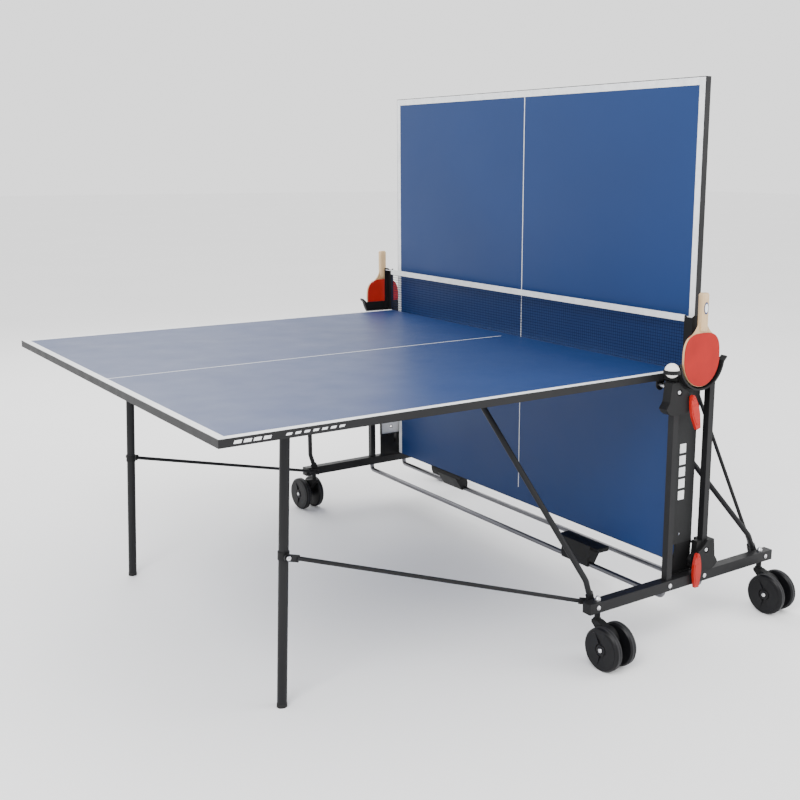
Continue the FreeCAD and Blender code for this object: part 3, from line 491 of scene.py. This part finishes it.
def racket_visual(side):
    """Blade, two rubber sheets, and a straight handle with its plain oval badge."""
    sign = SIDES[side]
    low, high = (Vector(c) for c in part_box(f"{side}_racket"))
    soft_low, soft_high = (Vector(c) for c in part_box(f"{side}_racket_rubber"))
    mid = Vector(((low.x + high.x) / 2, (low.y + high.y) / 2, low.z + (high.x - low.x) / 2))
    body = f"{side}_racket_set"
    place = lambda x, y, z: mid + Vector((x, y, z))
    below, above = mid.z - low.z, soft_high.z - mid.z
    bm = bmesh.new()
    prism(bm, blade_outline(0.0705, below, above), place, -0.003, 0.003)
    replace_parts(from_bmesh(f"{side}_racket_blade", bm, "wood", body), f"{side}_racket")
    sheet = [bat_point(2 * math.pi * i / 96, 0.0688, below - 0.0012, above) for i in range(96)]
    deep = (soft_high.y - soft_low.y) / 2
    bm = bmesh.new()
    prism(bm, sheet, place, 0.003, deep, 0.0006)
    prism(bm, sheet, lambda x, y, z: mid + Vector((x, -y, z)), 0.003, deep, 0.0006)
    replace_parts(from_bmesh(f"{side}_bat_rubber", bm, "rubber", body), f"{side}_racket_rubber")
    handle(side, mid, soft_high.z + 0.004, high.z, body)
    ring = [(0.0085 * math.cos(a), 0.0165 * math.sin(a)) for a in (2 * math.pi * i / 40 for i in range(40))]
    spot = Vector((mid.x, mid.y + sign * 0.0102, soft_high.z + 0.068))
    for word, share, thick, key in (("rim", 1.0, 0.0006, "top"), ("face", 0.74, 0.0009, "line")):
        bm = bmesh.new()
        prism(bm, [(x * share, z * share) for x, z in ring],
              lambda x, y, z: spot + Vector((x, sign * y, z)), 0.0, thick)
        from_bmesh(f"{side}_badge_{word}", bm, key, body)


def handle(side, mid, foot, top, body):
    """A straight handle, rounded in section and a little fuller at its end."""
    bm = bmesh.new()
    rows = []
    for t in (0.0, 0.05, 0.2, 0.5, 0.8, 0.95, 1.0):
        close = 0.0028 if t in (0.0, 1.0) else 0
        wide, deep = 0.0130 + 0.0004 * t - close, 0.0098 + 0.0006 * t - close
        row = []
        for i in range(32):
            c, s = math.cos(2 * math.pi * i / 32), math.sin(2 * math.pi * i / 32)
            row.append(bm.verts.new((mid.x + wide * math.copysign(abs(c) ** 0.5, c),
                                     mid.y + deep * math.copysign(abs(s) ** 0.5, s), foot + (top - foot) * t)))
        rows.append(row)
    for a, b in zip(rows, rows[1:]):
        for i in range(32):
            bm.faces.new((a[i], a[(i + 1) % 32], b[(i + 1) % 32], b[i]))
    bm.faces.new(rows[0][::-1])
    bm.faces.new(rows[-1])
    from_bmesh(f"{side}_racket_handle", bm, "grip", body, True)


def sector(bm, middle, axis, side_way, start, sweep, low_r, high_r, low, high):
    """A raised ring sector on a wheel's face."""
    up_way = axis.cross(side_way)
    count = 24
    rings = []
    for radius, at in ((low_r, low), (low_r + 0.0008, high), (high_r - 0.0008, high), (high_r, low)):
        rings.append([bm.verts.new(middle + axis * at + (side_way * math.cos(a) + up_way * math.sin(a)) * radius)
                      for a in (start + sweep * i / count for i in range(count + 1))])
    for a, b in zip(rings, rings[1:] + rings[:1]):
        for i in range(count):
            bm.faces.new((a[i], a[i + 1], b[i + 1], b[i]))
    for i in (0, count):
        bm.faces.new([ring[i] for ring in rings])


def caster_dress(side, half):
    """Rubber treads, raised face sectors, hubs and axle caps on a caster's two wheels."""
    centres = {}
    for place in ("inner", "outer"):
        low, high = (Vector(c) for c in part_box(f"{side}_{half}_{place}_wheel"))
        centres[place] = (low + high) / 2
    across = (centres["outer"] - centres["inner"]).normalized()
    side_way = across.cross(Vector((0, 0, 1)))
    for place, way in (("inner", -across), ("outer", across)):
        body, middle = f"{side}_{half}_{place}_roller", centres[place]
        bm = bmesh.new()
        band = [(0.0575, -0.0078), (0.0601, -0.0064), (0.0604, -0.0022), (0.0597, -0.0018), (0.0597, 0.0018),
                (0.0604, 0.0022), (0.0601, 0.0064), (0.0575, 0.0078)]
        turned(bm, band, middle, across, 72)
        from_bmesh(f"{side}_{half}_{place}_tread", bm, "tread", body, True)
        bm = bmesh.new()
        for start in (2.0, 2.0 + math.pi):
            sector(bm, middle, way, side_way, start, math.radians(142), 0.0170, 0.0500, 0.0080, 0.0116)
        from_bmesh(f"{side}_{half}_{place}_face", bm, "wheel", body)
        bm = bmesh.new()
        turned(bm, [(0.0150, 0.0070), (0.0150, 0.0116), (0.0135, 0.0124), (0.0085, 0.0126)], middle, way, 40)
        from_bmesh(f"{side}_{half}_{place}_hub", bm, "wheel", body, True)
        bm = bmesh.new()
        turned(bm, [(0.0062, 0.0120), (0.0062, 0.0142), (0.0050, 0.0153), (0.0022, 0.0157)], middle, way, 32)
        from_bmesh(f"{side}_{half}_{place}_axle_cap", bm, "zinc", f"{side}_{half}_caster", True)


def holder_fittings(side):
    """The bolt through the mast and the rivet under the cradle."""
    out = (0, SIDES[side], 0)
    screw(f"{side}_mast_bolt", side_point(side, 0.020, 0.786, 0.690), out, 0.0065, "frame", "chrome")
    screw(f"{side}_cradle_rivet", side_point(side, -0.018, 0.812, 0.722), out, 0.0035, "frame")


def carriage_fittings(half, side):
    """A screw in a carriage's round recess, and the lever's cap and raised leaf."""
    sign, out = SIDES[side], -1 if half == "left" else 1
    outward = (0, sign, 0)
    low, high = (Vector(c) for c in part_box(f"{half}_{side}_lever"))
    drop, rise = (0.0, 0.0) if half == "left" else (-0.476, 0.012)
    screw(f"{half}_{side}_carriage_screw", on_net(out * 0.070, sign * 0.8132, 0.714 + drop), outward, 0.0060,
          f"{half}_slider")
    edge = high.y if sign > 0 else low.y
    screw(f"{half}_{side}_lever_cap", on_net(out * 0.025, edge, 0.694 + drop + rise), outward, 0.0062,
          f"{half}_slider", "red")
    raised_leaf(half, side, sign)


def raised_leaf(half, side, sign):
    """The raised middle of a lever's leaf, following the lever's own outline."""
    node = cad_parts[f"{half}_{side}_lever"]
    points = [node.matrix_world @ vert.co for vert in node.data.vertices]
    face = max(sign * point.y for point in points)
    flat = [(point.x, point.z) for point in points if sign * point.y > face - 0.0003]
    hull = [Vector(flat[i]) for i in geometry.convex_hull_2d(flat)]
    low_z = min(point.y for point in hull)
    hull = [point for point in hull if point.y < low_z + 0.078]
    middle = sum(hull, Vector((0, 0))) / len(hull)
    outline = [tuple((point - middle) * 0.72) for point in hull]
    bm = bmesh.new()
    prism(bm, outline, lambda x, y, z: Vector((middle.x + x, sign * y, middle.y + z)), face - 0.0002,
          face + 0.0012, 0.0005)
    from_bmesh(f"{half}_{side}_leaf", bm, "red", f"{half}_{side}_lever_body")


def link_bolts(half, side):
    """Bright bolt heads where a strut meets the beam and a rod meets the leg."""
    sign, out = SIDES[side], -1 if half == "left" else 1
    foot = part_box(f"{half}_struts")[1][1] if sign > 0 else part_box(f"{half}_struts")[0][1]
    screw(f"{half}_{side}_foot_bolt", on_net(out * 0.333, foot, 0.160), (0, sign, 0), 0.0062,
          f"{half}_strut_pair")
    low, high = (Vector(c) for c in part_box(f"{half}_rod_clips"))
    spot = (low + high) / 2
    spot.y = high.y if sign > 0 else low.y
    screw(f"{half}_{side}_clip_bolt", spot, (0, sign, 0), 0.0062, f"{half}_legs")


def slanted_marks(name, place, count, wide, high, pitch, lean, body):
    """A row of plain leaning blocks, a thin film of white ink."""
    bm = bmesh.new()
    for i in range(count):
        start = (i - count / 2) * pitch
        outline = [(start, -high / 2), (start + wide, -high / 2), (start + wide + lean, high / 2),
                   (start + lean, high / 2)]
        prism(bm, outline, place, 0.0, 0.0003)
    from_bmesh(name, bm, "line", body)


def plain_marks():
    """Generic printed marks on the cover plates and the playing half's near rim."""
    for side, sign in SIDES.items():
        low, high = (Vector(c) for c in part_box(f"{side}_cover_plate"))
        face = low.y if sign < 0 else high.y
        middle = Vector(((low.x + high.x) / 2, face, low.z + 0.215))
        slanted_marks(f"{side}_plate_marks", lambda a, y, b, m=middle, s=sign: m + Vector((b, s * y, a)),
                      5, 0.026, 0.024, 0.034, 0.0, "frame")
    low, high = (Vector(c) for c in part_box("left_rim"))
    for word, start, count, wide, tall, pitch in (("bold", 0.078, 4, 0.017, 0.007, 0.0225),
                                                   ("fine", 0.228, 7, 0.013, 0.005, 0.0215)):
        middle = Vector((low.x + start, low.y, (low.z + high.z) / 2))
        slanted_marks(f"rim_marks_{word}", lambda a, y, b, m=middle: m + Vector((a, -y, b)),
                      count, wide, tall, pitch, 0.003, "left_top")


for side in SIDES:
    tray_lining(side)
    racket_visual(side)
    holder_fittings(side)
    for half in HALVES:
        caster_dress(side, half)
        carriage_fittings(half, side)
        link_bolts(half, side)
plain_marks()


# ---------------------------------------------------------------- floor, light and camera

def floor():
    bm = bmesh.new()
    bmesh.ops.create_grid(bm, x_segments=2, y_segments=2, size=40)
    mesh = bpy.data.meshes.new("floor")
    bm.to_mesh(mesh)
    bm.free()
    obj = bpy.data.objects.new("floor", mesh)
    bpy.context.scene.collection.objects.link(obj)
    paint = Mat("floor_paint", rough=0.9, specular=0.1)
    paint.colour(paint.ramp(paint.noise(0.8, 2), (0.3, (0.93, 0.93, 0.93)), (0.7, (0.95, 0.95, 0.95))))
    mesh.materials.append(paint.mat)
    obj.location.z = -0.0006


def area_light(name, spot, target, size, power):
    light = bpy.data.lights.new(name, "AREA")
    light.shape = "DISK"
    light.size = size
    light.energy = power
    obj = bpy.data.objects.new(name, light)
    obj.location = spot
    obj.rotation_euler = (Vector(target) - Vector(spot)).to_track_quat("-Z", "Y").to_euler()
    bpy.context.scene.collection.objects.link(obj)


def camera():
    data = bpy.data.cameras.new("camera")
    data.lens = 49.09
    data.sensor_width = 36.0
    data.shift_x, data.shift_y = -0.0829, -0.0223
    obj = bpy.data.objects.new("camera", data)
    yaw, pitch, roll = math.radians(-36.01), math.radians(11.39), math.radians(0.381)
    turn = Matrix.Rotation(yaw, 4, "Z") @ Matrix.Rotation(math.pi / 2 - pitch, 4, "X") @ Matrix.Rotation(roll, 4, "Z")
    obj.matrix_world = Matrix.Translation(on_net(-2.2305, -2.8076, 1.3195)) @ turn
    bpy.context.scene.collection.objects.link(obj)
    bpy.context.scene.camera = obj


floor()
world = bpy.data.worlds.new("studio")
world.use_nodes = True
world.node_tree.nodes["Background"].inputs[0].default_value = (1.0, 1.0, 1.0, 1)
world.node_tree.nodes["Background"].inputs[1].default_value = 1.7
bpy.context.scene.world = world
area_light("key", (-3.5, -3.0, 4.2), (0, 0, 0.6), 3.0, 260)
area_light("fill", (3.5, -3.5, 2.6), (0, 0, 0.6), 3.5, 90)
area_light("back", (0.5, 4.0, 3.8), (0, 0, 0.8), 3.0, 120)
camera()
